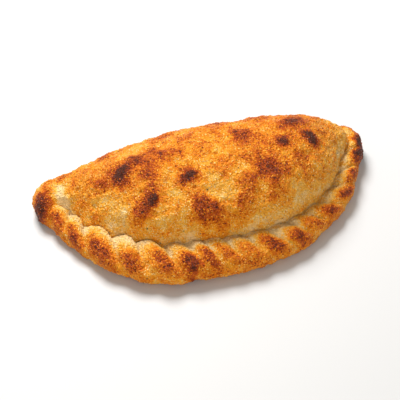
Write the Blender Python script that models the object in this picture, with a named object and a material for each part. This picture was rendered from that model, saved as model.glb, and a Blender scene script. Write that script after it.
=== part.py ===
"""A calzone: a round of pizza dough folded over its filling and baked, its open edge rolled into a rope crimp.

Metres, +Z up. +X runs from the left nose to the right nose, -Y is the crimped edge and +Y the fold.
The origin is on the board, under the middle of the calzone's box.
"""

import math

import bmesh
import bpy
import numpy as np

# Driving sizes.
LENGTH = 0.262  # nose to nose
WIDTH = 0.127  # fold to crimped edge
HEIGHT = 0.057  # board to crest

# The crust is faceted by sections from nose to nose, and by rows from its crest down to the middle of its base.
SECTIONS = 94
DOME_ROWS = 10
ROLL_ROWS = 13
BASE_ROWS = 2

# The plan outline as shares of the half length and the half width, from the left nose round the crimped edge
# to the right nose, and back along the fold.
OUTLINE = [
    (-1.00, 0.60), (-0.925, 0.215), (-0.80, -0.26), (-0.62, -0.69), (-0.385, -0.965), (-0.15, -1.015),
    (0.11, -1.005), (0.385, -0.86), (0.615, -0.58), (0.80, -0.215), (0.915, 0.20), (1.00, 0.66),
    (0.945, 0.81), (0.80, 0.87), (0.60, 0.94), (0.35, 0.99), (0.00, 1.00), (-0.38, 0.97), (-0.72, 0.87),
    (-0.955, 0.79),
]  # fmt: skip

# The crest runs over a spine that is this share of the outline's length, and bows towards the fold at its ends.
SPINE_SHARE = 0.62
SPINE_MIDDLE_Y = 0.012
SPINE_END_Y = 0.026

# Height of the dome's crown above the board as a share of HEIGHT, at places from -1 to 1 along the length.
CROWN = [
    (-1.0, 0.37), (-0.80, 0.52), (-0.60, 0.71), (-0.35, 0.90), (-0.10, 0.98), (0.12, 1.0), (0.36, 1.0),
    (0.58, 0.92), (0.75, 0.77), (1.0, 0.50),
]  # fmt: skip

# What follows the edge is given at places round it: 0 is the left nose, 1 the right nose along the crimped side,
# and 2 the left nose again, along the fold.
ROLL_HALF_WIDTH = [
    (0.0, 0.0105), (0.12, 0.0095), (0.19, 0.0120), (0.26, 0.0145), (0.42, 0.0158), (0.52, 0.0148),
    (0.60, 0.0132), (0.68, 0.0118), (0.78, 0.0102), (0.88, 0.0092), (1.0, 0.0096), (1.15, 0.0120),
    (1.5, 0.0150), (1.85, 0.0130), (2.0, 0.0105),
]  # fmt: skip
ROLL_HALF_HEIGHT = [
    (0.0, 0.0092), (0.06, 0.0080), (0.12, 0.0080), (0.26, 0.0095), (0.45, 0.0100), (0.62, 0.0094),
    (0.80, 0.0082), (1.0, 0.0096), (1.15, 0.0110), (1.5, 0.0130), (1.85, 0.0110), (2.0, 0.0092),
]  # fmt: skip
DOME_FULLNESS = [
    (0.0, 1.3), (0.15, 1.4), (0.30, 1.75), (0.45, 2.05), (0.80, 2.45), (1.0, 2.6), (1.15, 2.7), (1.5, 2.8),
    (1.85, 2.3), (2.0, 1.3),
]  # fmt: skip

# The rope crimp: the valleys between its lobes along the crimped side, with each valley's depth and the height
# of the lobe that follows it.
LOBES = [
    (0.012, 0.0024, 0.0012), (0.065, 0.0026, 0.0014), (0.125, 0.0038, 0.0022), (0.216, 0.0044, 0.0014),
    (0.280, 0.0040, 0.0022), (0.348, 0.0048, 0.0014), (0.400, 0.0024, 0.0010), (0.434, 0.0016, 0.0010),
    (0.478, 0.0018, 0.0011), (0.527, 0.0022, 0.0013), (0.582, 0.0028, 0.0015), (0.636, 0.0030, 0.0014),
    (0.685, 0.0028, 0.0013), (0.742, 0.0028, 0.0013), (0.810, 0.0028, 0.0012), (0.870, 0.0026, 0.0012),
    (0.930, 0.0024, 0.0012),
]  # fmt: skip
LOBE_SLANT = 0.060  # how far along the edge a valley runs on its way out, as a share of the crimped side
STEEPER_RIGHT = 1.18  # over 1, a lobe rises slowly on its left and drops steeply on its right
LOBE_FLATNESS = 0.65  # under 1, a lobe's top is broader than a sine wave's
NOSE_FADE = 0.03  # the share of the crimped side over which the lobes die away past the first and last valley

# Angles round the roll are turned inwards from its outermost line: positive on top, negative underneath.
CREASE_ANGLE = math.radians(146)  # where the crimped roll meets the dome
FOLD_ANGLE = math.radians(8)  # where the plain folded side meets it
FULL_ABOVE = math.radians(70)  # the lobes have their full height above this
GONE_BELOW = math.radians(-60)  # and none below this
OUTER_SHARE = 0.30  # the lobes' height on the outermost line, as a share of their full height
UNDERSIDE_POWER = 2 / 3  # under 1, the underside is squarer than an ellipse
RIPPLE_POWER = 5  # the higher, the sooner the lobes' ripple dies away up the dome
SCALLOP_FROM = math.radians(70)  # between these two angles the lobes shrink towards the crease
SCALLOP_TO = math.radians(130)

# How much of their height the lobes keep at the crease: deep notches on the left, calmer ones on the right.
SCALLOP = [(0.0, 0.8), (0.06, 1.0), (0.34, 1.0), (0.42, 0.7), (0.60, 0.65), (0.80, 0.7), (1.0, 0.4), (2.0, 0.3)]

# How much of the crimp there is at each place: all of it along the crimped side, dying away past the noses.
CRIMP = [
    (0.0, 0.60), (0.06, 0.88), (0.12, 1.0), (0.95, 1.0), (1.0, 0.97), (1.05, 0.80), (1.12, 0.35), (1.2, 0.0),
    (1.82, 0.0), (1.92, 0.14), (1.97, 0.38), (2.0, 0.60),
]  # fmt: skip


def along(stops, x):
    """A smooth curve through (place, value) stops, read at x. It never swings past a stop's value."""
    place, value = np.array(stops, float).T
    rise = np.diff(value) / np.diff(place)
    before, after = rise[:-1], rise[1:]
    same_way = before * after > 0
    slope = np.zeros(len(place))
    slope[1:-1][same_way] = (2 * before * after)[same_way] / (before + after)[same_way]
    left = np.clip(np.searchsorted(place, x) - 1, 0, len(place) - 2)
    span = place[left + 1] - place[left]
    t = np.clip((x - place[left]) / span, 0, 1)
    ends = (1 + 2 * t) * (1 - t) ** 2 * value[left] + t**2 * (3 - 2 * t) * value[left + 1]
    return ends + span * (t * (1 - t) ** 2 * slope[left] - t**2 * (1 - t) * slope[left + 1])


def eased(x):
    """0 below 0, 1 above 1, and smooth between."""
    x = np.clip(x, 0, 1)
    return x * x * (3 - 2 * x)


def smooth_loop(points, steps=60):
    """A closed curve through the points, with each tangent taken from its two neighbours."""
    points = np.array(points, float)
    ahead = np.roll(points, -1, axis=0)
    span = np.linalg.norm(ahead - points, axis=1)[:, None]
    leaving = (ahead - points) / span
    before = np.roll(span, 1, axis=0)
    tangent = (np.roll(leaving, 1, axis=0) * span + leaving * before) / (span + before)
    t = np.linspace(0, 1, steps, endpoint=False)[:, None, None]
    curve = (1 + 2 * t) * (1 - t) ** 2 * points + t**2 * (3 - 2 * t) * ahead
    curve += span * (t * (1 - t) ** 2 * tangent - t**2 * (1 - t) * np.roll(tangent, -1, axis=0))
    return curve.transpose(1, 0, 2).reshape(-1, 2)


def travelled(line):
    """How far along a line each of its points lies."""
    return np.concatenate([[0.0], np.cumsum(np.linalg.norm(np.diff(line, axis=0), axis=1))])


def edge_points(sections):
    """Plan points round the whole edge, and their places from 0 to 2."""
    loop = smooth_loop(OUTLINE)
    loop = (loop - (loop.min(axis=0) + loop.max(axis=0)) / 2) / np.ptp(loop, axis=0) * [LENGTH, WIDTH]
    loop = np.roll(loop, -loop[:, 0].argmin(), axis=0)
    right = loop[:, 0].argmax()
    crimped = loop[: right + 1]
    fold = np.vstack([loop[right:], loop[:1]])
    x = -LENGTH / 2 * np.cos(np.linspace(0, math.pi, sections + 1))
    front = np.column_stack([x, np.interp(x, crimped[:, 0], crimped[:, 1])])
    back = np.column_stack([x, np.interp(x, fold[::-1, 0], fold[::-1, 1])])[-2:0:-1]
    run = np.interp(x, crimped[:, 0], travelled(crimped))
    back_run = np.interp(-back[:, 0], -fold[:, 0], travelled(fold))
    return np.vstack([front, back]), np.concatenate([run / run[-1], 1 + back_run / travelled(fold)[-1]])


def lobe_height(place):
    """How far the crimp stands proud of its plain roll: broad lobes with sharp valleys between them."""
    valley, depth, height = np.array(LOBES).T
    i = np.clip(np.searchsorted(valley, place, side="right") - 1, 0, len(valley) - 2)
    f = np.clip((place - valley[i]) / (valley[i + 1] - valley[i]), 0, 1)
    floor = -depth[i] * (1 - f) - depth[i + 1] * f
    lobe = (height[i] - floor) * np.sin(math.pi * f**STEEPER_RIGHT) ** LOBE_FLATNESS
    outside = np.maximum(valley[0] - place, place - valley[-1])
    fade = 1 - eased(outside / NOSE_FADE)
    return (floor + lobe) * fade + (1 - fade) * height[0]


def crust_surface(sections, dome_rows, roll_rows, base_rows):
    """Points of the whole crust, indexed by column round the edge and by row from the crest to the base."""
    edge, place = edge_points(sections)
    share = edge[:, 0] / (LENGTH / 2)
    spine_y = SPINE_MIDDLE_Y + (SPINE_END_Y - SPINE_MIDDLE_Y) * share**2
    spine = np.column_stack([SPINE_SHARE * edge[:, 0], spine_y])
    reach = np.linalg.norm(edge - spine, axis=1)[:, None]
    outward = (edge - spine) / reach
    half_width = along(ROLL_HALF_WIDTH, place)[:, None]
    half_height = along(ROLL_HALF_HEIGHT, place)[:, None]
    crimp = along(CRIMP, place)[:, None]
    scallop = along(SCALLOP, place)[:, None]
    crease = FOLD_ANGLE + (CREASE_ANGLE - FOLD_ANGLE) * crimp

    # The roll, from the line where it meets the dome, over its outermost line and under to the base.
    step = np.linspace(0, 1, roll_rows + 1)
    angle = crease + (-math.pi / 2 - crease) * step
    proud = lobe_height(place[:, None] - LOBE_SLANT * (1 - angle / CREASE_ANGLE)) * crimp
    proud = proud * (OUTER_SHARE + (1 - OUTER_SHARE) * eased(angle / FULL_ABOVE))
    proud = proud * eased((angle - GONE_BELOW) / -GONE_BELOW)
    proud = proud * (1 - (1 - scallop) * eased((angle - SCALLOP_FROM) / (SCALLOP_TO - SCALLOP_FROM)))
    power = np.where(angle < 0, UNDERSIDE_POWER, 1.0)
    across = np.sign(np.cos(angle)) * np.abs(np.cos(angle)) ** power
    up = np.sign(np.sin(angle)) * np.abs(np.sin(angle)) ** power
    roll_out = reach - half_width + (half_width + proud) * across
    roll_up = half_height + (half_height + proud) * up

    # The dome, from the crest down to the roll, where the lobes' ripple dies away upwards.
    turn = np.linspace(0, math.pi / 2, dome_rows + 1)[:-1]
    plain_out = reach - half_width + half_width * np.cos(crease)
    plain_up = half_height * (1 + np.sin(crease))
    dome_out = plain_out * np.sin(turn)
    crown = HEIGHT * along(CROWN, (spine[:, :1] + outward[:, :1] * dome_out) / (LENGTH / 2))
    dome_up = plain_up + (crown - plain_up) * np.cos(turn) ** (2 / along(DOME_FULLNESS, place)[:, None])
    ripple = (turn / (math.pi / 2)) ** RIPPLE_POWER
    dome_out = dome_out + ripple * (roll_out[:, :1] - plain_out)
    dome_up = dome_up + ripple * (roll_up[:, :1] - plain_up)

    # The base, flat on the board.
    base_out = roll_out[:, -1:] * (1 - np.linspace(0, 1, base_rows + 1)[1:])
    out = np.hstack([dome_out, roll_out, base_out])
    up = np.hstack([dome_up, roll_up, np.zeros_like(base_out)])
    points = np.dstack([spine[:, None, :] + outward[:, None, :] * out[:, :, None], up])
    low = points.min(axis=(0, 1))
    high = points.max(axis=(0, 1))
    middle = np.array([(low[0] + high[0]) / 2, (low[1] + high[1]) / 2, 0.0])
    return (points - middle) * np.array([LENGTH, WIDTH, HEIGHT]) / (high - low)


def crust_material():
    material = bpy.data.materials.new("baked_crust")
    material.use_nodes = True
    shader = material.node_tree.nodes["Principled BSDF"]
    shader.inputs["Base Color"].default_value = (0.56, 0.25, 0.06, 1)
    shader.inputs["Roughness"].default_value = 0.6
    shader.inputs["Metallic"].default_value = 0.0
    return material


def crust_object(collection):
    """One closed skin: a grid laid on the crust's surface, then welded at its seam, its crest and its base."""
    points = crust_surface(SECTIONS, DOME_ROWS, ROLL_ROWS, BASE_ROWS)
    columns, rows = points.shape[:2]
    mesh = bmesh.new()
    bmesh.ops.create_grid(mesh, x_segments=columns, y_segments=rows - 1, size=1)
    for corner in mesh.verts:
        column = round((corner.co.x + 1) / 2 * columns) % columns
        row = round((corner.co.y + 1) / 2 * (rows - 1))
        corner.co = points[column, row]
    bmesh.ops.remove_doubles(mesh, verts=mesh.verts, dist=1e-6)
    bmesh.ops.triangulate(mesh, faces=mesh.faces)
    bmesh.ops.recalc_face_normals(mesh, faces=mesh.faces)
    data = bpy.data.meshes.new("calzone_crust")
    mesh.to_mesh(data)
    mesh.free()
    data.shade_smooth()
    data.materials.append(crust_material())
    crust = bpy.data.objects.new("calzone_crust", data)
    collection.objects.link(crust)
    return crust


def main():
    for old in list(bpy.data.objects):
        bpy.data.objects.remove(old, do_unlink=True)
    calzone = bpy.data.collections.new("calzone")
    bpy.context.scene.collection.children.link(calzone)
    crust_object(calzone)


main()
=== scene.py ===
# %% [markdown]
# # A baked calzone
#
# A calzone is a round of pizza dough folded over its filling. The open edge is rolled over itself into a
# rope, and the whole thing is baked on a hot stone until it is golden, with darker blisters and charred
# noses.
#
# This lesson dresses a solid that already has the right size. The solid is loaded first, and its box is the
# limit for everything that follows. A size below is read from that box or is in metres, unless a comment
# says millimetres.

import math

import bmesh
import bpy
import numpy as np
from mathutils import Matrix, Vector, noise


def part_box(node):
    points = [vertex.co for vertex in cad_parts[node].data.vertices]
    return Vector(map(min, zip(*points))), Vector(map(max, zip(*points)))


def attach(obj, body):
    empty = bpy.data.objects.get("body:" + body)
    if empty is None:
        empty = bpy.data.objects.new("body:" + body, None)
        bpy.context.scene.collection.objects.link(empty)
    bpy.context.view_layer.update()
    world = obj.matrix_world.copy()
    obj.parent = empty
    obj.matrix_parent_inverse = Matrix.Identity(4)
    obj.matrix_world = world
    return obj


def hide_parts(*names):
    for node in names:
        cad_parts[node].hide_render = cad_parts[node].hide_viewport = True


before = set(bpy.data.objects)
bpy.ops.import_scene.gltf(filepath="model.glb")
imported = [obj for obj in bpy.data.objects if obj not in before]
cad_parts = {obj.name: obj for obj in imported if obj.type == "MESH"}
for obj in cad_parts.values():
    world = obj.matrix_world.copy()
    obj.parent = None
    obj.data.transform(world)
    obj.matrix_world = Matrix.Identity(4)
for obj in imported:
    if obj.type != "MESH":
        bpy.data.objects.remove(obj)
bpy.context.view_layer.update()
low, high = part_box("calzone_crust")
LENGTH, WIDTH, HEIGHT = high - low
print(f"calzone {LENGTH:.3f} x {WIDTH:.3f} x {HEIGHT:.3f} m")

# %% [markdown]
# ## Curves to build on
#
# Hand-made food has no straight lines, so nearly every size below changes along the edge. Small helpers
# carry that: one reads a smooth curve through a few stops, one eases from 0 to 1, one runs a closed outline
# through a few points, and one measures along a line. Blender's curve objects could do the same, but plain
# functions are easier to sample at exactly the places the mesh needs.


# %% Helpers for smooth curves
def along(stops, x):
    """A smooth curve through (place, value) stops, read at x. It never swings past a stop's value."""
    place, value = np.array(stops, float).T
    rise = np.diff(value) / np.diff(place)
    before, after = rise[:-1], rise[1:]
    same_way = before * after > 0
    slope = np.zeros(len(place))
    slope[1:-1][same_way] = (2 * before * after)[same_way] / (before + after)[same_way]
    left = np.clip(np.searchsorted(place, x) - 1, 0, len(place) - 2)
    span = place[left + 1] - place[left]
    t = np.clip((x - place[left]) / span, 0, 1)
    ends = (1 + 2 * t) * (1 - t) ** 2 * value[left] + t**2 * (3 - 2 * t) * value[left + 1]
    return ends + span * (t * (1 - t) ** 2 * slope[left] - t**2 * (1 - t) * slope[left + 1])


def eased(x):
    """0 below 0, 1 above 1, and smooth between."""
    x = np.clip(x, 0, 1)
    return x * x * (3 - 2 * x)


def smooth_loop(points, steps=60):
    """A closed curve through the points, with each tangent taken from its two neighbours."""
    points = np.array(points, float)
    ahead = np.roll(points, -1, axis=0)
    span = np.linalg.norm(ahead - points, axis=1)[:, None]
    leaving = (ahead - points) / span
    before = np.roll(span, 1, axis=0)
    tangent = (np.roll(leaving, 1, axis=0) * span + leaving * before) / (span + before)
    t = np.linspace(0, 1, steps, endpoint=False)[:, None, None]
    curve = (1 + 2 * t) * (1 - t) ** 2 * points + t**2 * (3 - 2 * t) * ahead
    curve += span * (t * (1 - t) ** 2 * tangent - t**2 * (1 - t) * np.roll(tangent, -1, axis=0))
    return curve.transpose(1, 0, 2).reshape(-1, 2)


def travelled(line):
    """How far along a line each of its points lies."""
    return np.concatenate([[0.0], np.cumsum(np.linalg.norm(np.diff(line, axis=0), axis=1))])


print(f"eased runs from {eased(-1)} through {eased(0.5)} to {eased(2)}")


# %% [markdown]
# ## The plan outline
#
# Seen from above the calzone is a half moon: a nearly straight fold at the back, a long bowed edge in
# front, and two blunt noses. Columns of points are spread evenly along the crimped edge, where the detail
# is, and each has a partner on the fold at the same X, so that the two halves meet cleanly along the crest.

# %% The edge, from the left nose round to itself
# Each point in shares of half the length and half the width.
OUTLINE = [
    (-1.00, 0.60), (-0.925, 0.215), (-0.80, -0.26), (-0.62, -0.69), (-0.385, -0.965), (-0.15, -1.015),
    (0.11, -1.005), (0.385, -0.86), (0.615, -0.58), (0.80, -0.215), (0.915, 0.20), (1.00, 0.66),
    (0.945, 0.81), (0.80, 0.87), (0.60, 0.94), (0.35, 0.99), (0.00, 1.00), (-0.38, 0.97), (-0.72, 0.87),
    (-0.955, 0.79),
]  # fmt: skip
SECTIONS = 372  # along the crimped edge


def edge_points():
    """Plan points round the edge, and their places: 0 left nose, 1 right nose, 2 left nose again."""
    loop = smooth_loop(OUTLINE)
    loop = (loop - (loop.min(axis=0) + loop.max(axis=0)) / 2) / np.ptp(loop, axis=0) * [LENGTH, WIDTH]
    loop = np.roll(loop, -loop[:, 0].argmin(), axis=0)
    right = loop[:, 0].argmax()
    crimped = loop[: right + 1]
    fold = np.vstack([loop[right:], loop[:1]])
    run = np.linspace(0, 1, SECTIONS + 1)
    crimped_run = travelled(crimped)
    x = np.interp(run * crimped_run[-1], crimped_run, crimped[:, 0])
    front = np.column_stack([x, np.interp(x, crimped[:, 0], crimped[:, 1])])
    back = np.column_stack([x, np.interp(x, fold[::-1, 0], fold[::-1, 1])])[-2:0:-1]
    back_run = np.interp(-back[:, 0], -fold[:, 0], travelled(fold))
    return np.vstack([front, back]), np.concatenate([run, 1 + back_run / travelled(fold)[-1]])


edge, place = edge_points()
print(f"{len(edge)} columns of points round the edge")

# %% [markdown]
# ## The rope crimp
#
# The edge is rolled over and pinched, thumb by thumb, so it is a row of fat slanting lobes with sharp
# valleys between them. No two are alike. Each valley gets a place along the edge and a depth, and the lobe
# that follows it gets a height and a brown top. A lobe rises slowly on its left and drops steeply on its
# right, where the next pinch holds it down. The lobes could be modelled one by one, but a formula over this
# list lets them be moved and fattened while the skin stays whole.

# %% Valleys and lobes along the crimped edge
# A valley's place and depth, then its lobe's height, browning, and the angle of its brown top in degrees,
# where 0 points outwards and 90 straight up.
LOBES = [
    (0.012, 0.0024, 0.0012, 0.50, 60), (0.065, 0.0026, 0.0014, 0.62, 64),
    (0.125, 0.0038, 0.0022, 0.70, 68), (0.216, 0.0044, 0.0014, 0.46, 68),
    (0.280, 0.0040, 0.0022, 0.72, 82), (0.348, 0.0048, 0.0014, 0.60, 76),
    (0.400, 0.0024, 0.0010, 0.54, 80), (0.434, 0.0016, 0.0010, 0.56, 86),
    (0.478, 0.0018, 0.0011, 0.46, 84), (0.527, 0.0022, 0.0013, 0.70, 78),
    (0.582, 0.0028, 0.0015, 0.66, 68), (0.636, 0.0030, 0.0014, 0.56, 78),
    (0.685, 0.0028, 0.0013, 0.58, 70), (0.742, 0.0028, 0.0013, 0.56, 60),
    (0.810, 0.0028, 0.0012, 0.56, 60), (0.870, 0.0026, 0.0012, 0.62, 60),
    (0.930, 0.0024, 0.0012, 0.60, 60),
]  # fmt: skip
LOBE_SLANT = 0.060  # how far along the edge a valley runs on its way out, as a share of the crimped side
STEEPER_RIGHT = 1.18  # over 1, a lobe rises slowly on its left and drops steeply on its right
LOBE_FLATNESS = 0.65  # under 1, a lobe's top is broader than a sine wave's
NOSE_FADE = 0.03  # the share of the side over which the lobes die away past the first and last valley
NOSE_CREST = 0.7  # how near to a crest the smooth noses count as, for their browning


def lobe_height(at):
    """How far the crimp stands proud of its plain roll, how near it is to a crest (0 to 1), and its lobe."""
    valley, depth, height = np.array(LOBES).T[:3]
    i = np.clip(np.searchsorted(valley, at, side="right") - 1, 0, len(valley) - 2)
    f = np.clip((at - valley[i]) / (valley[i + 1] - valley[i]), 0, 1)
    floor = -depth[i] * (1 - f) - depth[i + 1] * f
    crest = np.sin(math.pi * f**STEEPER_RIGHT) ** LOBE_FLATNESS
    outside = np.maximum(valley[0] - at, at - valley[-1])
    fade = 1 - eased(outside / NOSE_FADE)
    proud = (floor + (height[i] - floor) * crest) * fade + (1 - fade) * height[0]
    return proud, crest * fade + (1 - fade) * NOSE_CREST, i


print(f"{len(LOBES) - 1} lobes between {len(LOBES)} valleys")

# %% [markdown]
# ## One skin for the whole crust
#
# A section is drawn at every column: from the crest down the dome to the crease, over the rolled edge,
# under it, and flat along the base. Stacking those sections gives one closed skin. It could be sculpted, or
# built from joined primitives, but a skin of sections keeps the crimp's points where the pinches are.

# %% Sizes that change round the edge
# The height of the crest in shares of the whole height, along the length from -1 to 1.
CROWN = [
    (-1.0, 0.37), (-0.80, 0.52), (-0.60, 0.71), (-0.35, 0.90), (-0.10, 0.98), (0.12, 1.0), (0.36, 1.0),
    (0.58, 0.92), (0.75, 0.77), (1.0, 0.50),
]  # fmt: skip
# The lists from here on run round the edge: 0 left nose, 1 right nose, 2 left nose again.
ROLL_HALF_WIDTH = [
    (0.0, 0.0105), (0.12, 0.0095), (0.19, 0.0120), (0.26, 0.0145), (0.42, 0.0158), (0.52, 0.0148),
    (0.60, 0.0132), (0.68, 0.0118), (0.78, 0.0102), (0.88, 0.0092), (1.0, 0.0096), (1.15, 0.0120),
    (1.5, 0.0150), (1.85, 0.0130), (2.0, 0.0105),
]  # fmt: skip
ROLL_HALF_HEIGHT = [
    (0.0, 0.0092), (0.06, 0.0080), (0.12, 0.0080), (0.26, 0.0095), (0.45, 0.0100), (0.62, 0.0094),
    (0.80, 0.0082), (1.0, 0.0096), (1.15, 0.0110), (1.5, 0.0130), (1.85, 0.0110), (2.0, 0.0092),
]  # fmt: skip
# At 2 the dome is an ellipse in section, and above that it is boxier.
DOME_FULLNESS = [
    (0.0, 1.3), (0.15, 1.4), (0.30, 1.75), (0.45, 2.05), (0.80, 2.45), (1.0, 2.6), (1.15, 2.7),
    (1.5, 2.8), (1.85, 2.3), (2.0, 1.3),
]  # fmt: skip
# 1 where the edge is crimped and 0 where the dough is only folded.
CRIMP = [
    (0.0, 0.60), (0.06, 0.88), (0.12, 1.0), (0.95, 1.0), (1.0, 0.97), (1.05, 0.80), (1.12, 0.35),
    (1.2, 0.0), (1.82, 0.0), (1.92, 0.14), (1.97, 0.38), (2.0, 0.60),
]  # fmt: skip
# How much of the lobes' height is left where they meet the dome.
SCALLOP = [
    (0.0, 0.8), (0.06, 1.0), (0.34, 1.0), (0.42, 0.7), (0.60, 0.65), (0.80, 0.7), (1.0, 0.4), (2.0, 0.3),
]  # fmt: skip
# How far round the roll the crease lies, as a share of CREASE_ANGLE.
CREASE_DEPTH = [(0.0, 1.0), (0.34, 1.0), (0.46, 0.90), (1.0, 0.87), (2.0, 0.87)]
CREASE_ANGLE = math.radians(146)  # where the crimped roll meets the dome
FOLD_ANGLE = math.radians(8)  # where the plain folded side meets it
SPINE_SHARE = 0.62  # the crest, from which the sections fan out, as a share of the length
SPINE_MIDDLE_Y = 0.012
SPINE_END_Y = 0.026
DOME_ROWS = 60
ROLL_ROWS = 62
BASE_ROWS = 5

share = edge[:, 0] / (LENGTH / 2)
spine_y = SPINE_MIDDLE_Y + (SPINE_END_Y - SPINE_MIDDLE_Y) * share**2
spine = np.column_stack([SPINE_SHARE * edge[:, 0], spine_y])
reach = np.linalg.norm(edge - spine, axis=1)[:, None]
outward = (edge - spine) / reach
half_width = along(ROLL_HALF_WIDTH, place)[:, None]
half_height = along(ROLL_HALF_HEIGHT, place)[:, None]
crimp = along(CRIMP, place)[:, None]
crease = FOLD_ANGLE + (CREASE_ANGLE * along(CREASE_DEPTH, place)[:, None] - FOLD_ANGLE) * crimp
print(f"crest to edge {reach.min() * 1000:.0f} to {reach.max() * 1000:.0f} mm")


# %% The rolled edge
FULL_ABOVE = math.radians(70)  # the lobes have their full height above this
OUTER_SHARE = 0.30  # the lobes' height on the outermost line, as a share of their full height
GONE_BELOW = math.radians(-60)  # no lobes below this
GONE_OVER = math.radians(75)  # the angle over which they die away
SCALLOP_FROM = math.radians(70)  # SCALLOP begins to tell here
SCALLOP_OVER = math.radians(60)  # and tells in full this much further round
UNDERSIDE_POWER = 2 / 3  # under 1, the underside is squarer than an ellipse
ROW_BUNCHING = 0.055  # over 0, the rows are closer together at the crease and at the base


def roll_rows():
    """Distance out and height above the board, from the crease over the roll to its underside."""
    step = np.linspace(0, 1, ROLL_ROWS + 1)
    step = step - ROW_BUNCHING * np.sin(2 * math.pi * step)
    angle = crease + (-math.pi / 2 - crease) * step
    proud, crest, lobe = lobe_height(place[:, None] - LOBE_SLANT * (1 - angle / CREASE_ANGLE))
    proud = proud * crimp * (OUTER_SHARE + (1 - OUTER_SHARE) * eased(angle / FULL_ABOVE))
    proud = proud * eased((angle - GONE_BELOW) / GONE_OVER)
    near_crease = eased((angle - SCALLOP_FROM) / SCALLOP_OVER)
    proud = proud * (1 - near_crease * (1 - along(SCALLOP, place)[:, None]))
    power = np.where(angle < 0, UNDERSIDE_POWER, 1.0)
    across = np.sign(np.cos(angle)) * np.abs(np.cos(angle)) ** power
    up = np.sign(np.sin(angle)) * np.abs(np.sin(angle)) ** power
    out = reach - half_width + (half_width + proud) * across
    return out, half_height + (half_height + proud) * up, crest, lobe, angle


roll_out, roll_up, roll_crest, roll_lobe, roll_angle = roll_rows()
print(f"roll {2000 * half_width.min():.0f} to {2000 * half_width.max():.0f} mm wide")


# %% The dome above it
RIPPLE_POWER = 5  # the higher, the sooner the lobes' ripple dies away up the dome


def dome_rows():
    """Distance out and height, from the crest to the crease, where the lobes' ripple dies away upwards."""
    turn = np.linspace(0, math.pi / 2, DOME_ROWS + 1)[:-1]
    plain_out = reach - half_width + half_width * np.cos(crease)
    plain_up = half_height * (1 + np.sin(crease))
    out = plain_out * np.sin(turn)
    crown = HEIGHT * along(CROWN, (spine[:, :1] + outward[:, :1] * out) / (LENGTH / 2))
    up = plain_up + (crown - plain_up) * np.cos(turn) ** (2 / along(DOME_FULLNESS, place)[:, None])
    ripple = (turn / (math.pi / 2)) ** RIPPLE_POWER
    out = out + ripple * (roll_out[:, :1] - plain_out)
    up = up + ripple * (roll_up[:, :1] - plain_up)
    return out, up, np.broadcast_to(np.sin(turn), out.shape)


dome_out, dome_up, dome_share = dome_rows()
print(f"dome {1000 * dome_out.max():.0f} mm from the crest to its farthest point")

# %% [markdown]
# ## Softening the crown
#
# Sections fan out round the two ends of the crest, and the fan leaves a faint ridge that risen dough never
# has. The dome's height is therefore averaged over a few millimetres of the plan, which is what a smoothing
# brush does.

# %% Average the dome's height over the plan
CELL = 0.0015
BLUR = 0.007
BLUR_REACH = 3  # in blurs
SOFT_UNTIL = 0.97  # the share of the way from the crest to the crease where the softening ends
SOFT_FADE = 0.45  # the share over which it fades before that


def soften(plan, height, keep):
    """Blends each height towards the average round it, as far as keep (0 to 1) lets it."""
    corner = plan.min(axis=(0, 1)) - CELL
    spot = (plan - corner) / CELL
    index = spot.round().astype(int)
    shape = tuple(index.max(axis=(0, 1)) + 2)
    total = np.zeros(shape)
    count = np.zeros(shape)
    np.add.at(total, (index[..., 0], index[..., 1]), height)
    np.add.at(count, (index[..., 0], index[..., 1]), 1)
    filled = (count > 0).astype(float)
    mean = total / np.maximum(count, 1)
    cells = int(BLUR_REACH * BLUR / CELL)
    offsets = np.arange(-cells, cells + 1) * CELL
    kernel = np.exp(-0.5 * (offsets / BLUR) ** 2)
    for axis in (0, 1):
        mean = np.apply_along_axis(np.convolve, axis, mean, kernel, mode="same")
        filled = np.apply_along_axis(np.convolve, axis, filled, kernel, mode="same")
    mean = mean / np.maximum(filled, 1e-6)
    near = np.clip(np.floor(spot).astype(int), 0, np.array(shape) - 2)
    part = spot - near
    i, j = near[..., 0], near[..., 1]
    u, v = part[..., 0], part[..., 1]
    smooth = (mean[i, j] * (1 - u) + mean[i + 1, j] * u) * (1 - v)
    smooth += (mean[i, j + 1] * (1 - u) + mean[i + 1, j + 1] * u) * v
    return height + (smooth - height) * keep


dome_plan = spine[:, None, :] + outward[:, None, :] * dome_out[:, :, None]
dome_up = soften(dome_plan, dome_up, eased((SOFT_UNTIL - dome_share) / SOFT_FADE))
print(f"crown {dome_up.max() * 1000:.1f} mm high")

# %% Put the rows together
base_out = roll_out[:, -1:] * (1 - np.linspace(0, 1, BASE_ROWS + 1)[1:])
out = np.hstack([dome_out, roll_out, base_out])
up = np.hstack([dome_up, roll_up, np.zeros_like(base_out)])
points = np.dstack([spine[:, None, :] + outward[:, None, :] * out[:, :, None], up])
COLUMNS, ROWS = points.shape[:2]
crease_row = DOME_ROWS
print(f"{COLUMNS} columns x {ROWS} rows")
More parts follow.
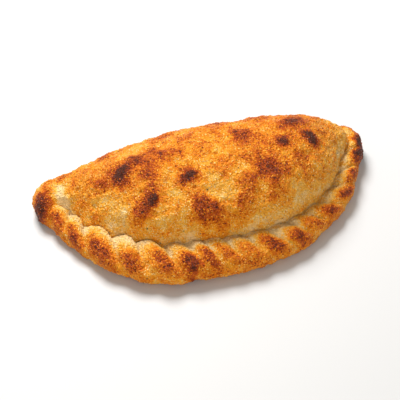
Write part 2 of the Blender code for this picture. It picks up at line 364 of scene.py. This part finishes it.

# %% [markdown]
# ## Blisters and toasting
#
# Steam lifts the dough in blisters, and what stands highest browns first. So one list carries
# both: where a blister sits, how wide it is, how brown it is and how far it rises. The soft noise that
# bends each one's outline keeps them from looking like stamped circles.

# %% Blisters and hollows on the dome
# Each spot: x, y and radius in mm, browning, rise in mm.
BROWNING, RISE = 3, 4
BLISTERS = [
    (-54, 23, 7.5, 0.40, 1.3), (-65, 19, 6.5, 0.42, 1.3), (-61, 15, 10.0, 0.30, 0.8),
    (-75, 18, 10.0, 0.26, 0.5), (-46, 10, 8.0, 0.38, 0.9), (-84, 22, 9.0, 0.12, 0.4),
    (-33, 22, 7.0, 0.36, 1.2), (-25, 19, 5.0, 0.24, 0.6), (-40, 26, 8.0, 0.22, 0.5),
    (-20, -4, 6.0, 0.58, 1.6), (-27, -6, 5.0, 0.28, 0.9), (-48, -12, 6.0, 0.58, 1.6),
    (-56, -12, 6.5, 0.30, 0.9), (-62, -15, 5.5, 0.22, 0.7), (-45, -5, 8.0, 0.20, 0.6),
    (-11, -28, 10.0, 0.48, 1.6), (-18, -24, 7.0, 0.24, 0.6), (-3, -34, 7.0, 0.22, 0.6),
    (25, 20, 8.0, 0.40, 1.6), (22, 29, 6.5, 0.30, 0.8), (53, 9, 5.5, 0.56, 1.2), (58, 12, 4.0, 0.20, 0.5),
    (75, 15, 5.0, 0.54, 1.2), (78, 11, 4.5, 0.40, 1.0), (59, -2, 9.0, 0.24, 0.7),
    (41, -15, 10.0, 0.36, 1.6), (33, -9, 8.0, 0.30, 1.0), (20, -16, 8.0, 0.26, 0.6),
    (11, -31, 6.5, 0.30, 0.8), (37, -27, 6.5, 0.20, 0.5), (71, 33, 10.0, 0.44, 1.4),
    (58, 30, 8.0, 0.34, 1.0), (-13, 36, 9.0, 0.20, 0.6), (-97, 14, 5.0, 0.30, 0.8),
    (-89, 0, 4.5, 0.24, 0.6), (-118, 45, 5.0, 0.30, 0.6), (-104, 44, 6.0, 0.26, 0.5),
    (-88, 20, 8.0, 0.12, 0.5), (39, 31, 8.0, 0.20, 0.6), (79, -14, 3.5, 0.24, 0.4),
    (66, -13, 7.0, 0.14, 0.4), (-30, 46, 10.0, 0.24, 0.7), (12, 50, 11.0, 0.28, 0.8),
    (50, 48, 9.0, 0.26, 0.7), (-70, 44, 10.0, 0.30, 0.8), (92, 38, 9.0, 0.26, 0.7),
    (0, 20, 9.0, 0.14, 0.5), (88, 18, 8.0, 0.18, 0.4),
    # Dark hearts of the browner blisters.
    (-48, -12, 3.2, 0.34, 0.4), (-20, -3, 2.8, 0.34, 0.3), (-24, -5, 3.0, 0.14, 0.2),
    (-65, 21, 3.2, 0.26, 0.3), (-54, 26, 3.0, 0.18, 0.3), (55, 6, 2.6, 0.34, 0.2),
    (52, 10, 2.6, 0.22, 0.2), (77, 13, 3.0, 0.34, 0.3), (74, 17, 2.6, 0.22, 0.2),
    (-47, 8, 3.5, 0.20, 0.3), (-33, 22, 3.0, 0.20, 0.2), (-59, -15, 3.0, 0.12, 0.2),
    # Broad faint ones, and a lift in each nose.
    (40, 12, 9.0, 0.26, 0.6), (66, 24, 9.0, 0.18, 0.4), (5, 33, 9.0, 0.12, 0.4),
    (-122, 27, 8.0, 0.00, 2.0), (-98, 30, 8.0, 0.18, 0.6), (-92, 40, 9.0, 0.20, 0.4),
    (122, 28, 7.0, 0.0, 1.2), (28, 5, 13.0, 0.20, 0.2), (-64, -27, 12.0, 0.16, 0.2),
    (-84, -20, 8.0, 0.10, 0.2),
]  # fmt: skip
# Paler hollows between them, where the last two numbers are taken away.
HOLLOWS = [
    (2, -22, 6.0, 0.20, 1.0), (-37, -8, 8.0, 0.16, 0.8), (-5, -13, 7.0, 0.22, 0.8),
    (5, -33, 5.0, 0.10, 0.5), (-110, 34, 4.5, 0.30, 0.9), (-109, 26, 5.0, 0.36, 1.1),
    (-106, 18, 4.5, 0.30, 0.8), (-30, -15, 7.0, 0.12, 0.6), (30, -24, 7.0, 0.10, 0.5),
    (57, -22, 8.0, 0.10, 0.5), (-73, -14, 9.0, 0.10, 0.4), (76, -13, 7.0, 0.08, 0.3),
    (20, -6, 6.0, 0.08, 0.4), (33, 5, 8.0, 0.04, 0.3),
]  # fmt: skip
SPOT_FALL = 0.9  # how steeply a spot fades towards its radius
SPOT_POWER = 2.5  # over 2, a spot has a flatter top and a sharper rim than a bell curve
WANDER = 0.0026  # how far a spot's outline is pushed about
WANDER_SIZE = 0.014
WANDER_SEED = 1
FINER = 3  # the second noise is this much finer
FINER_PUSH = 0.5
FOLD_TOAST = 0.13  # the folded back browns a little all over
FOLD_FROM = 0.038  # from here back
FOLD_OVER = 0.018


def wandered(points):
    """The points pushed about in plan by soft noise, so that round spots get uneven outlines."""
    moved = points[..., :2].copy()
    flat = moved.reshape(-1, 2)
    for i, point in enumerate(points.reshape(-1, 3)):
        push = noise.noise_vector(Vector(point) / WANDER_SIZE)
        finer = noise.noise_vector(Vector(point) / (WANDER_SIZE / FINER))
        flat[i] += WANDER * np.array([push.x + FINER_PUSH * finer.x, push.y + FINER_PUSH * finer.y])
    return moved


def spot_sum(plan, spots, column):
    """What all the spots add up to at each point of the plan, in one of their columns."""
    total = np.zeros(plan.shape[:2])
    for spot in spots:
        x, y, radius = np.array(spot[:3]) / 1000
        distance = np.hypot(plan[..., 0] - x, plan[..., 1] - y) / radius
        total += spot[column] * np.exp(-SPOT_FALL * distance**SPOT_POWER)
    return total


noise.seed_set(WANDER_SEED)
bent = wandered(points)
on_dome = np.zeros((COLUMNS, ROWS))
on_dome[:, :crease_row] = 1
on_dome[:, crease_row : crease_row + ROLL_ROWS] = 1 - crimp * np.ones(ROLL_ROWS)
toast = (spot_sum(bent, BLISTERS, BROWNING) - spot_sum(bent, HOLLOWS, BROWNING)) * on_dome
toast += FOLD_TOAST * eased((bent[..., 1] - FOLD_FROM) / FOLD_OVER) * on_dome
rise = (spot_sum(bent, BLISTERS, RISE) - spot_sum(bent, HOLLOWS, RISE)) / 1000
print(f"toast {toast.min():.2f} to {toast.max():.2f}")

# %% [markdown]
# ## Browning on the crimp
#
# The crimp browns on the crest of each lobe and stays pale in the valleys and along the crease. The two
# noses are thin dough, so they char. The browning follows the angle round the roll and the lobes' own
# formula, so it stays on the lobes when they are moved. A brush would have to paint each one again.

# %% Browning on the crimp and the noses
# Each spot: x, y and radius in mm, browning. The last two are brown patches on the front of the crimp.
CHAR = [
    (-123, 29, 8.0, 0.40), (-118, 34, 6.5, 0.30), (-128, 24, 6.0, 0.32), (-117, 24, 5.0, 0.24),
    (-120, 41, 4.0, 0.14), (127, 31, 6.0, 0.54), (121, 34, 5.0, 0.28), (117, 18, 7.0, 0.20),
    (126, 23, 4.0, 0.2), (-29, -52, 7.0, 0.20), (-31, -61, 3.0, 0.20),
]  # fmt: skip
ROPE_PALE = 0.10  # browning of the roll at the crease
ROPE_BROWNER = 0.44  # how much more it has on its front
ROPE_FROM = math.radians(112)
ROPE_OVER = math.radians(84)
BLOTCH_ABOVE = math.radians(25)  # how far a lobe's brown top reaches up from its middle
BLOTCH_BELOW = math.radians(44)  # and down
BLOTCH_POWER = 1.5  # over 1, it keeps clear of the valleys
VALLEY_PALER = 0.14
VALLEY_OVER = math.radians(50)
CREASE_SIZE = 0.05  # in shares of the dome's rows or the roll's
UNDER_FROM = math.radians(38)  # the underside begins this far below the outermost line
UNDER_OVER = math.radians(35)

on_crimp = np.zeros((COLUMNS, ROWS))
rope_rows = slice(crease_row, crease_row + ROLL_ROWS + 1)
on_crimp[:, rope_rows] = crimp
lobe_brown, brown_angle = np.array(LOBES).T[3:]
off_centre = roll_angle - np.radians(brown_angle[roll_lobe])
off_centre = off_centre / np.where(off_centre > 0, BLOTCH_ABOVE, BLOTCH_BELOW)
blotch = lobe_brown[roll_lobe] * np.exp(-(off_centre**2)) * roll_crest**BLOTCH_POWER
rope_base = ROPE_PALE + ROPE_BROWNER * eased((ROPE_FROM - roll_angle) / ROPE_OVER)
rope_toast = rope_base + blotch - VALLEY_PALER * (1 - roll_crest) * eased(roll_angle / VALLEY_OVER)
toast[:, rope_rows] += crimp * rope_toast
char = spot_sum(bent, CHAR, BROWNING)

row = np.arange(ROWS)
crease_gap = np.abs(row - crease_row) / np.where(row < crease_row, DOME_ROWS, ROLL_ROWS)
crease_shade = np.exp(-((crease_gap / CREASE_SIZE) ** 2)) * crimp
under = np.zeros((COLUMNS, ROWS))
under[:, rope_rows] = eased((-roll_angle - UNDER_FROM) / UNDER_OVER)
under[:, crease_row + ROLL_ROWS :] = 1
print(f"char up to {char.max():.2f}")

# %% [markdown]
# ## The mesh
#
# Points that share a place, along the crest and along the middle of the base, are made one, so the skin is
# closed. What was worked out for each point goes along with it as a named value that the later steps read.

# %% One closed mesh with its named values
index = np.arange(COLUMNS * ROWS).reshape(COLUMNS, ROWS)
for shared in (0, ROWS - 1):
    half = np.arange(1, SECTIONS)
    index[COLUMNS - half, shared] = index[half, shared]
used, compact = np.unique(index, return_inverse=True)
compact = compact.reshape(COLUMNS, ROWS)
beside = np.roll(compact, -1, axis=0)
faces = np.stack([compact[:, :-1], compact[:, 1:], beside[:, 1:], beside[:, :-1]], axis=-1).reshape(-1, 4)

mesh = bpy.data.meshes.new("crust")
mesh.from_pydata(points.reshape(-1, 3)[used].tolist(), [], faces.tolist())
named = {
    "toast": toast, "rise": rise, "char": char, "crease": crease_shade, "under": under, "crimp": on_crimp,
}  # fmt: skip
for name, values in named.items():
    layer = mesh.attributes.new(name, "FLOAT", "POINT")
    everywhere = np.broadcast_to(values, (COLUMNS, ROWS)).reshape(-1)
    layer.data.foreach_set("value", everywhere[used].astype(np.float32))
shape = bmesh.new()
shape.from_mesh(mesh)
bmesh.ops.recalc_face_normals(shape, faces=shape.faces)
open_edges = sum(not side.is_manifold for side in shape.edges)
shape.to_mesh(mesh)
shape.free()
crust = bpy.data.objects.new("crust", mesh)
bpy.context.collection.objects.link(crust)
print(f"{len(mesh.vertices)} points, {len(mesh.polygons)} faces, {open_edges} open edges")

# %% [markdown]
# ## Writing node trees as sums
#
# Both the relief and the finish are node trees. A small wrapper lets sockets be added and multiplied like
# numbers, so each tree below reads as the formula it is. Adding and linking each Math node by hand would do
# the same in ten times the lines.


# %% A socket wrapper for node trees
class Wire:
    """An output socket that can be used in arithmetic."""

    def __init__(self, graph, socket):
        self.graph = graph
        self.socket = socket

    def maths(self, operation, *values, clamp=False):
        settings = {"operation": operation, "use_clamp": clamp}
        return self.graph.add("ShaderNodeMath", settings, dict(enumerate(values)))

    def __add__(self, other):
        return self.maths("ADD", self, other)

    def __sub__(self, other):
        return self.maths("SUBTRACT", self, other)

    def __rsub__(self, other):
        return self.maths("SUBTRACT", other, self)

    def __mul__(self, other):
        return self.maths("MULTIPLY", self, other)

    def __rtruediv__(self, other):
        return self.maths("DIVIDE", other, self)

    __radd__ = __add__
    __rmul__ = __mul__

    def at_least(self, other):
        return self.maths("MAXIMUM", self, other)

    def between(self, start, stop):
        """0 at start and 1 at stop, straight between and held outside."""
        return self.maths("MULTIPLY", self - start, 1 / (stop - start), clamp=True)

    def eased(self, start, stop):
        t = self.between(start, stop)
        return t * t * (3 - 2 * t)


class Graph:
    """A node tree that is written from its inputs to its output."""

    def __init__(self, tree):
        self.tree = tree

    def add(self, kind, settings=None, inputs=None, output=0):
        """Adds a node: its settings first, then its inputs, each a number, a vector or a Wire."""
        node = self.tree.nodes.new(kind)
        for name, value in (settings or {}).items():
            setattr(node, name, value)
        for name, value in (inputs or {}).items():
            if isinstance(value, Wire):
                self.tree.links.new(value.socket, node.inputs[name])
            else:
                node.inputs[name].default_value = value
        return Wire(self, node.outputs[output]) if len(node.outputs) else node

    def noise(self, where, scale, detail, seed):
        """Noise from about 0 to 1."""
        inputs = {"Vector": where, "Scale": scale, "Detail": detail, "W": seed}
        return self.add("ShaderNodeTexNoise", {"noise_dimensions": "4D"}, inputs)

    def centred(self, where, scale, detail, seed):
        """The same noise about 0 instead of a half."""
        return self.noise(where, scale, detail, seed) - 0.5

    def mix(self, share, first, second):
        """A colour between two others."""
        inputs = {0: share, 6: first, 7: second}
        return self.add("ShaderNodeMix", {"data_type": "RGBA"}, inputs, 2)


print("node trees can now be written as sums")

# %% [markdown]
# ## Relief
#
# The baked skin has three sizes of roughness on top of its blisters: soft swellings a thumb wide, small
# bubbles, and a fine grain like sandpaper from the semolina in the flour. A geometry tree moves each point
# along its normal by the sum of them, because it can be tuned by its named inputs and follows the surface
# by itself. The same could be done with displace modifiers and noise textures.

# %% The relief tree
RELIEF_INPUTS = {
    "swelling_size": 0.021, "swelling_height": 0.0022, "bubble_size": 0.0064, "bubble_height": 0.0011,
    "grain_size": 0.0023, "grain_height": 0.0012, "seed": 3.0,
}  # fmt: skip
BUBBLE_FROM = 0.42  # the noise above this rises in bubbles
BUBBLE_TO = 0.75
BUBBLE_SEED = 7  # added to the seed, so that no two noises are alike
GRAIN_SEED = 13
CREASE_CALM = 0.65  # how much of the relief the crease loses


def input_sockets(tree, inputs):
    """Adds the tree's named inputs, and returns their identifiers by name."""
    tree.interface.new_socket("Geometry", in_out="INPUT", socket_type="NodeSocketGeometry")
    tree.interface.new_socket("Geometry", in_out="OUTPUT", socket_type="NodeSocketGeometry")
    identifiers = {}
    for name, value in inputs.items():
        socket = tree.interface.new_socket(name, in_out="INPUT", socket_type="NodeSocketFloat")
        socket.default_value = value
        identifiers[name] = socket.identifier
    return identifiers


def stored_value(graph, name):
    """One of the mesh's named values, for a geometry tree."""
    return graph.add("GeometryNodeInputNamedAttribute", {"data_type": "FLOAT"}, {"Name": name})


def relief_tree(finish):
    """Moves each point along its normal by swelling, bubble, grain and the listed rise."""
    tree = bpy.data.node_groups.new("crust_relief", "GeometryNodeTree")
    identifiers = input_sockets(tree, RELIEF_INPUTS)
    graph = Graph(tree)
    group = tree.nodes.new("NodeGroupInput")
    value = {name: Wire(graph, group.outputs[name]) for name in RELIEF_INPUTS}
    where = graph.add("GeometryNodeInputPosition")
    seed = value["seed"]
    under, rise, crease = (stored_value(graph, name) for name in ("under", "rise", "crease"))
    swelling = graph.centred(where, 1 / value["swelling_size"], 1.5, seed)
    bubble = graph.noise(where, 1 / value["bubble_size"], 2.0, seed + BUBBLE_SEED)
    bubble = bubble.eased(BUBBLE_FROM, BUBBLE_TO)
    grain = graph.centred(where, 1 / value["grain_size"], 2.0, seed + GRAIN_SEED)
    height = swelling * value["swelling_height"] * 2 + bubble * value["bubble_height"]
    height = (height + grain * value["grain_height"] * 2) * (1 - under) * (1 - CREASE_CALM * crease) + rise
    normal = graph.add("GeometryNodeInputNormal")
    offset = graph.add("ShaderNodeVectorMath", {"operation": "SCALE"}, {0: normal, "Scale": height})
    skin = Wire(graph, group.outputs[0])
    moved = graph.add("GeometryNodeSetPosition", {}, {"Geometry": skin, "Offset": offset})
    real = graph.add("GeometryNodeRealizeInstances", {}, {"Geometry": moved})
    dressed = graph.add("GeometryNodeSetMaterial", {}, {"Geometry": real, "Material": finish})
    graph.add("NodeGroupOutput", {}, {"Geometry": dressed})
    return tree, identifiers


def as_mesh(obj, tree, settings, name):
    """Runs the tree on the object with these settings, and returns the result as a plain mesh."""
    modifier = obj.modifiers.new(tree.name, "NODES")
    modifier.node_group = tree
    for identifier, value in settings.items():
        modifier[identifier] = value
    obj.update_tag()
    graph = bpy.context.evaluated_depsgraph_get()
    graph.update()
    made = bpy.data.meshes.new_from_object(obj.evaluated_get(graph), depsgraph=graph)
    made.name = name
    obj.modifiers.remove(modifier)
    return made


print(f"relief with {len(RELIEF_INPUTS)} named inputs")

# %% [markdown]
# ## The finish
#
# Baked dough runs through one row of colours, from cream through gold and amber to nearly black. So the
# finish works out a single number, the browning, from height, blisters, crimp and speckle, and only then
# turns it into a colour. Painting each colour by hand would take longer and wouldn't follow the blisters.
# The speckle is stronger where the crust is browner. A few spots are painted paler and a little shinier:
# partly pale grains, partly painted highlights for glints.

# %% Colours of baked dough
# Each browning and its colour.
TOAST = [
    (0.00, (0.92, 0.64, 0.30)), (0.18, (0.90, 0.47, 0.062)), (0.36, (0.88, 0.32, 0.010)),
    (0.52, (0.74, 0.185, 0.002)), (0.68, (0.47, 0.072, 0.001)), (0.84, (0.23, 0.028, 0.002)),
    (1.00, (0.080, 0.017, 0.006)),
]  # fmt: skip


def new_material(name):
    """An empty material and its graph."""
    material = bpy.data.materials.new(name)
    material.use_nodes = True
    material.node_tree.nodes.clear()
    return material, Graph(material.node_tree)


def toasted(graph, browning):
    """The colour of dough at each browning, mixed step by step along TOAST."""
    colour = (*TOAST[0][1], 1)
    for (start, _), (stop, shade) in zip(TOAST, TOAST[1:]):
        colour = graph.mix(browning.between(start, stop), colour, (*shade, 1))
    return colour


def value_of(graph, name):
    """One of the mesh's named values, for a material."""
    return graph.add("ShaderNodeAttribute", {"attribute_name": name}, output="Fac")


print(f"{len(TOAST)} steps from cream to char")


# %% The crust's finish
# Each noise: scale per metre, detail, seed.
NOISES = {
    "cloud": (60, 2.0, 1), "patch": (170, 2.0, 2), "speckle": (560, 2.0, 3), "fine": (1200, 1.0, 4),
    "grain": (700, 2.0, 5), "freckle": (720, 0.0, 8), "glint": (980, 0.0, 9),
}  # fmt: skip
DOME_FOOT = 0.19  # browning low on the dome
DOME_BROWNER = 0.19  # how much more its top has
DOME_FROM = 0.018  # heights between which it changes
DOME_TO = 0.048
TOAST_SHARE = 0.80  # of the blisters' and the crimp's browning
UNDER_TOAST = 0.20
# Painted light in the crease: its colour is made a little paler against the crease's shadow.
CREASE_PAINTED_LIGHT = 0.05
CLOUDS = 0.66
PATCHES = 0.66
SPECKLE_LEAST = 0.30  # strength of the speckle on raw dough
SPECKLE_MORE = 0.45  # and how it grows with the browning
SPECKLE = 0.46
FINE = 0.60
# Painted light on the tops of the bump's grain and painted shade in its pits, from the bump's own noise.
GRAIN_PAINTED_LIGHT_AND_SHADE = 0.7
FRECKLE_FROM = 0.62  # the noise above this is a dark freckle
FRECKLE_LEAST = 0.25
FRECKLE = 0.30
# Where the glint noise is high the crust is painted paler and made shinier: partly a pale grain, partly a
# painted highlight.
GLINT_FROM = 0.63  # the noise above this is a pale, shinier grain
PALE_GRAIN_AND_PAINTED_GLINT = 0.32
GLINT_SMOOTHER = 0.25
ROUGHNESS_SPREAD = 0.4
PEAK = 0.70  # the noise that makes a full freckle or glint
GRAIN_HEIGHT = 0.0036  # of the bump


def dough_finish(name, lift, shine, roughness):
    """Baked dough. Lift makes it paler, shine is its specular level, and roughness its mean roughness."""
    material, graph = new_material(name)
    where = graph.add("ShaderNodeTexCoord", output="Object")
    height = graph.add("ShaderNodeSeparateXYZ", inputs={0: where}, output=2)
    toast, char, crease, under, crimp = (
        value_of(graph, name) for name in ("toast", "char", "crease", "under", "crimp")
    )
    cloud, patch, speckle, fine = (
        graph.centred(where, *NOISES[name]) for name in ("cloud", "patch", "speckle", "fine")
    )
    grain = graph.noise(where, *NOISES["grain"])
    freckle = graph.noise(where, *NOISES["freckle"]).eased(FRECKLE_FROM, PEAK)
    glint = graph.noise(where, *NOISES["glint"]).eased(GLINT_FROM, PEAK)

    dome = DOME_FOOT + DOME_BROWNER * height.eased(DOME_FROM, DOME_TO)
    # The crease term is painted light, a little paler colour against the crease's shadow.
    browning = dome * (1 - crimp) + toast * TOAST_SHARE - CREASE_PAINTED_LIGHT * crease
    browning = browning + CLOUDS * cloud + PATCHES * patch
    # The grain term paints light on the bump's tops and shade in its pits; speckle and fine are the dough's
    # own uneven tone.
    specks = SPECKLE * speckle + FINE * fine - GRAIN_PAINTED_LIGHT_AND_SHADE * (grain - 0.5)
    browning = browning + (SPECKLE_LEAST + SPECKLE_MORE * browning) * specks
    # The glint term is partly pale grains and partly painted highlight.
    browning = browning + FRECKLE * freckle * (FRECKLE_LEAST + browning) - PALE_GRAIN_AND_PAINTED_GLINT * glint
    browning = browning + char + under * UNDER_TOAST - lift

    bump = graph.add("ShaderNodeBump", {}, {"Strength": 1.0, "Distance": GRAIN_HEIGHT, "Height": grain})
    inputs = {
        "Base Color": toasted(graph, browning),
        "Roughness": roughness + ROUGHNESS_SPREAD * fine - GLINT_SMOOTHER * glint,
        "Normal": bump,
        "Specular IOR Level": shine,
    }
    shader = graph.add("ShaderNodeBsdfPrincipled", {}, inputs)
    graph.add("ShaderNodeOutputMaterial", {}, {"Surface": shader})
    return material


baked = dough_finish("baked_crust", lift=0.0, shine=0.19, roughness=0.50)
print("crust finish ready")

# %% [markdown]
# ## Fitting the skin into the solid's box
#
# Relief pushes points out as well as in, so the skin is scaled afterwards until it fills the solid's box,
# less the room that the grains on top of it need. Only the base is cut flat, because it rests on the board.
# Clipping the other sides would leave flat spots where the dough is round.

# %% Run the relief and fit the skin into its box
ROOM_FOR_GRAINS = 0.00035
relief, relief_ids = relief_tree(baked)
settings = {relief_ids[name]: value for name, value in RELIEF_INPUTS.items()}
crust.data = as_mesh(crust, relief, settings, "crust_baked")
skin = np.empty(len(crust.data.vertices) * 3, np.float32)
crust.data.vertices.foreach_get("co", skin)
skin = skin.reshape(-1, 3).astype(float)
skin[:, 2] = np.maximum(skin[:, 2], 0)
room = np.array([ROOM_FOR_GRAINS, ROOM_FOR_GRAINS, 0])
inside_low = np.array(low) + room
inside_high = np.array(high) - ROOM_FOR_GRAINS
skin = (skin - skin.min(axis=0)) / np.ptp(skin, axis=0) * (inside_high - inside_low) + inside_low
crust.data.vertices.foreach_set("co", skin.astype(np.float32).reshape(-1))
crust.data.update()
crust.data.shade_smooth()
print(f"crust {np.ptp(skin, axis=0).round(4)} m, {len(crust.data.polygons)} faces")

# %% [markdown]
# ## Semolina and burnt specks
#
# The dough is stretched on semolina, and some grains bake onto the skin. A few char to black specks. Both
# are real little stones here, half sunk in the surface, because at this size they catch light one by one. A
# geometry tree strews them at random with a fixed seed. A bump texture would be cheaper, but it leaves the
# outline smooth.


# %% The scatter tree
def plain_finish(name, colour, roughness):
    """One plain colour."""
    material, graph = new_material(name)
    shader = graph.add(
        "ShaderNodeBsdfPrincipled", {}, {"Base Color": (*colour, 1), "Roughness": roughness}
    )
    graph.add("ShaderNodeOutputMaterial", {}, {"Surface": shader})
    return material


SMALLEST = (0.6, 0.6, 0.6)  # in shares of the largest stone, each way
LARGEST = (1.0, 1.0, 1.0)
FULL_TURN = (6.28, 6.28, 6.28)


def scatter_tree(name, finish, inputs, rounds):
    """Strews stones over every face but the underside's. Each round of subdivision gives them more faces."""
    tree = bpy.data.node_groups.new(name, "GeometryNodeTree")
    identifiers = input_sockets(tree, inputs)
    graph = Graph(tree)
    group = tree.nodes.new("NodeGroupInput")
    value = {key: Wire(graph, group.outputs[key]) for key in inputs}
    skin = Wire(graph, group.outputs[0])
    density = value["per_square_metre"] * (1 - stored_value(graph, "under")).at_least(0)
    points = graph.add(
        "GeometryNodeDistributePointsOnFaces", {"distribute_method": "RANDOM"},
        {"Mesh": skin, "Density": density, "Seed": value["seed"]},
    )  # fmt: skip
    stone = graph.add("GeometryNodeMeshIcoSphere", {}, {"Radius": 0.5, "Subdivisions": rounds})
    size = graph.add(
        "FunctionNodeRandomValue", {"data_type": "FLOAT_VECTOR"},
        {0: SMALLEST, 1: LARGEST, "Seed": value["seed"]},
    )  # fmt: skip
    size = graph.add("ShaderNodeVectorMath", {"operation": "SCALE"}, {0: size, "Scale": value["largest"]})
    turn = graph.add("FunctionNodeRandomValue", {"data_type": "FLOAT_VECTOR"}, {0: (0, 0, 0), 1: FULL_TURN})
    inputs = {"Points": points, "Instance": stone, "Rotation": turn, "Scale": size}
    placed = graph.add("GeometryNodeInstanceOnPoints", {}, inputs)
    real = graph.add("GeometryNodeRealizeInstances", {}, {"Geometry": placed})
    dressed = graph.add("GeometryNodeSetMaterial", {}, {"Geometry": real, "Material": finish})
    graph.add("NodeGroupOutput", {}, {"Geometry": dressed})
    return tree, identifiers


def scattered(name, finish, inputs, rounds):
    """A piece of its own: the stones that the tree puts on the crust."""
    tree, identifiers = scatter_tree(name, finish, inputs, rounds)
    made = as_mesh(crust, tree, {identifiers[key]: value for key, value in inputs.items()}, name)
    piece = bpy.data.objects.new(name, made)
    bpy.context.collection.objects.link(piece)
    print(f"{name}: {len(made.polygons)} faces")
    return piece


# Grains brown with the crust under them, a little paler and shinier than it.
grain_finish = dough_finish("semolina_grain", lift=0.05, shine=0.5, roughness=0.28)
grain_inputs = {"per_square_metre": 180000.0, "largest": 0.0010, "seed": 5.0}
grains = scattered("semolina_grains", grain_finish, grain_inputs, rounds=1)
speck_finish = plain_finish("burnt_speck", colour=(0.035, 0.014, 0.008), roughness=0.6)
speck_inputs = {"per_square_metre": 1400.0, "largest": 0.0011, "seed": 11.0}
specks = scattered("burnt_specks", speck_finish, speck_inputs, rounds=2)

# %% [markdown]
# ## Hand the pieces over
#
# The crust takes the solid's place. The grains and specks are extra pieces on the same body and move with it.

# %% Ride on the body, replace the solid
for piece in (crust, grains, specks):
    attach(piece, "root")
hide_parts("calzone_crust")
print("crust, grains and specks ride on root")

# %% [markdown]
# ## Stage, light and camera
#
# A pale floor, a soft lamp behind and a little to the left, a weaker warm one in front, and an even
# surround. The main lamp stands behind so that it rakes over the blisters towards the camera and throws the
# shadow to the front. The front one keeps the crimp from going dark.

# %% Floor, lamps and surround
FLOOR = 4  # half its width
floor_mesh = bpy.data.meshes.new("floor")
floor_corners = [(x * FLOOR, y * FLOOR, 0) for x, y in ((-1, -1), (1, -1), (1, 1), (-1, 1))]
floor_mesh.from_pydata(floor_corners, [], [(0, 1, 2, 3)])
floor_mesh.materials.append(plain_finish("pale_floor", colour=(0.62, 0.62, 0.62), roughness=0.6))
floor = bpy.data.objects.new("floor", floor_mesh)
bpy.context.collection.objects.link(floor)


def aimed(obj, place, target):
    """Puts a lamp or camera at a place, turned towards the target."""
    obj.location = place
    obj.rotation_euler = (Vector(target) - Vector(place)).to_track_quat("-Z", "Y").to_euler()
    bpy.context.collection.objects.link(obj)
    return obj


LAMP_WAY = Vector((-0.14, 0.86, 1.16)).normalized()
LAMP_AWAY = 1.2
FRONT_PLACE = (-0.30, -1.25, 0.26)
lamp = bpy.data.lights.new("soft_lamp", "AREA")
lamp.shape = "DISK"
lamp.size = 0.58
lamp.energy = 21.5
aimed(bpy.data.objects.new("soft_lamp", lamp), LAMP_WAY * LAMP_AWAY, (0, 0, 0))

front = bpy.data.lights.new("front_fill", "AREA")
front.size = 1.2
front.energy = 10.5
front.color = (1.0, 0.94, 0.84)
aimed(bpy.data.objects.new("front_fill", front), FRONT_PLACE, (0, 0, 0.02))

world = bpy.data.worlds.new("bright_room")
world.use_nodes = True
surround = world.node_tree.nodes["Background"]
surround.inputs["Color"].default_value = (1.0, 0.965, 0.90, 1)
surround.inputs["Strength"].default_value = 0.42
bpy.context.scene.world = world
bpy.context.scene.view_settings.view_transform = "Standard"
print("lit")

# %% Camera
CAMERA_PLACE = (-0.1304, -0.4552, 0.5240)
CAMERA_TARGET = (-0.0109, 0.0006, 0.018)
lens = bpy.data.cameras.new("camera")
lens.lens = 85
lens.sensor_width = 36
camera = aimed(bpy.data.objects.new("camera", lens), CAMERA_PLACE, CAMERA_TARGET)
bpy.context.scene.camera = camera
print(f"camera {(Vector(CAMERA_PLACE) - Vector(CAMERA_TARGET)).length:.2f} m from the calzone")
